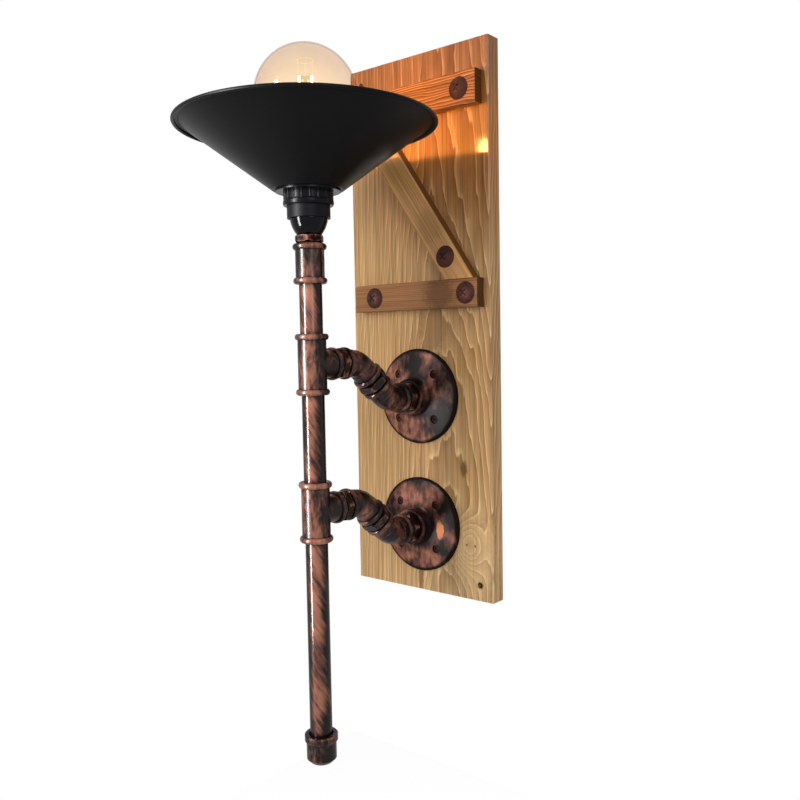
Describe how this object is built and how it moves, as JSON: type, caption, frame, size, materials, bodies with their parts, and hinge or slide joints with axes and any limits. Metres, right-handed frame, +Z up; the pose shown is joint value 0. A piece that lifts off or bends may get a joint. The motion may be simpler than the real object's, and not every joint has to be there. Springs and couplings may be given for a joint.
{
  "type": "wall light",
  "caption": "Up-facing wall light: a black cone shade and globe bulb on an upright pipe stem, carried by pipe-fitting arms on a braced timber board.",
  "frame": {"origin": "centre of the back board's back face, on the wall", "axes": "+Z up the wall, +Y into the wall, +X to the right as the light is faced"},
  "size_m": [0.24, 0.292, 0.6967],
  "materials": {
    "pine": "stained pine, satin varnish",
    "rust_steel": "rust brown, dull",
    "copper_casting": "copper rubbed over dark brown, lacquered casting",
    "copper_nipple": "copper rubbed over dark brown, lacquered",
    "copper_pipe": "copper rubbed over dark brown, glossy lacquer",
    "gloss_black": "glossy black moulding",
    "matte_black": "matt black moulding",
    "shade_black": "satin black paint",
    "ceramic": "glazed insulator",
    "brass": "bright brass",
    "bulb_metal": "pressed aluminium",
    "filament": "glowing amber strands",
    "bulb_glass": "clear glass with a warm amber tint"
  },
  "bodies": {
    "fixture": {"backboard": "pine", "upper_batten": "pine", "lower_batten": "pine", "diagonal_brace": "pine", "dome_screws": "rust_steel", "upper_flange": "copper_casting", "lower_flange": "copper_casting", "flange_screws": "rust_steel", "upper_flange_nipple": "copper_nipple", "upper_inner_elbow": "copper_casting", "upper_middle_nipple": "copper_nipple", "upper_outer_elbow": "copper_casting", "upper_tee_nipple": "copper_nipple", "lower_flange_nipple": "copper_nipple", "lower_inner_elbow": "copper_casting", "lower_middle_nipple": "copper_nipple", "lower_outer_elbow": "copper_casting", "lower_tee_nipple": "copper_nipple", "upper_tee": "copper_casting", "lower_tee": "copper_casting", "upper_pipe": "copper_pipe", "middle_pipe": "copper_pipe", "lower_pipe": "copper_pipe", "end_cap": "copper_casting", "top_socket": "copper_casting", "holder_bush": "copper_nipple", "holder_cover": "gloss_black", "holder_body": "matte_black", "contact_block": "ceramic", "terminal_screws": "brass", "centre_contact": "brass", "screw_shell": "brass", "lower_shade_ring": "matte_black", "upper_shade_ring": "matte_black", "shade": "shade_black"},
    "bulb_tip": {"tip_contact": "brass"},
    "bulb": {"cap_insulator": "gloss_black", "bulb_cap": "bulb_metal", "bulb_glass": "bulb_glass", "bulb_stem": "bulb_glass", "filament_frame": "brass", "filaments": "filament"}
  },
  "joints": [
    {"name": "bulb_rise", "type": "slide", "parent": "fixture", "child": "bulb_tip", "axis": [0, 0, 1], "range_m": [0, 0.01817]},
    {"name": "bulb_turn", "type": "hinge", "parent": "bulb_tip", "child": "bulb", "pos_m": [-0.00602, -0.17197, 0.12469], "axis": [0, 0, 1], "range_deg": [0, 1800]}
  ],
  "couplings": [
    {"joint": "bulb_rise", "follows": "bulb_turn", "m_per_rad": 0.00057757}
  ]
}
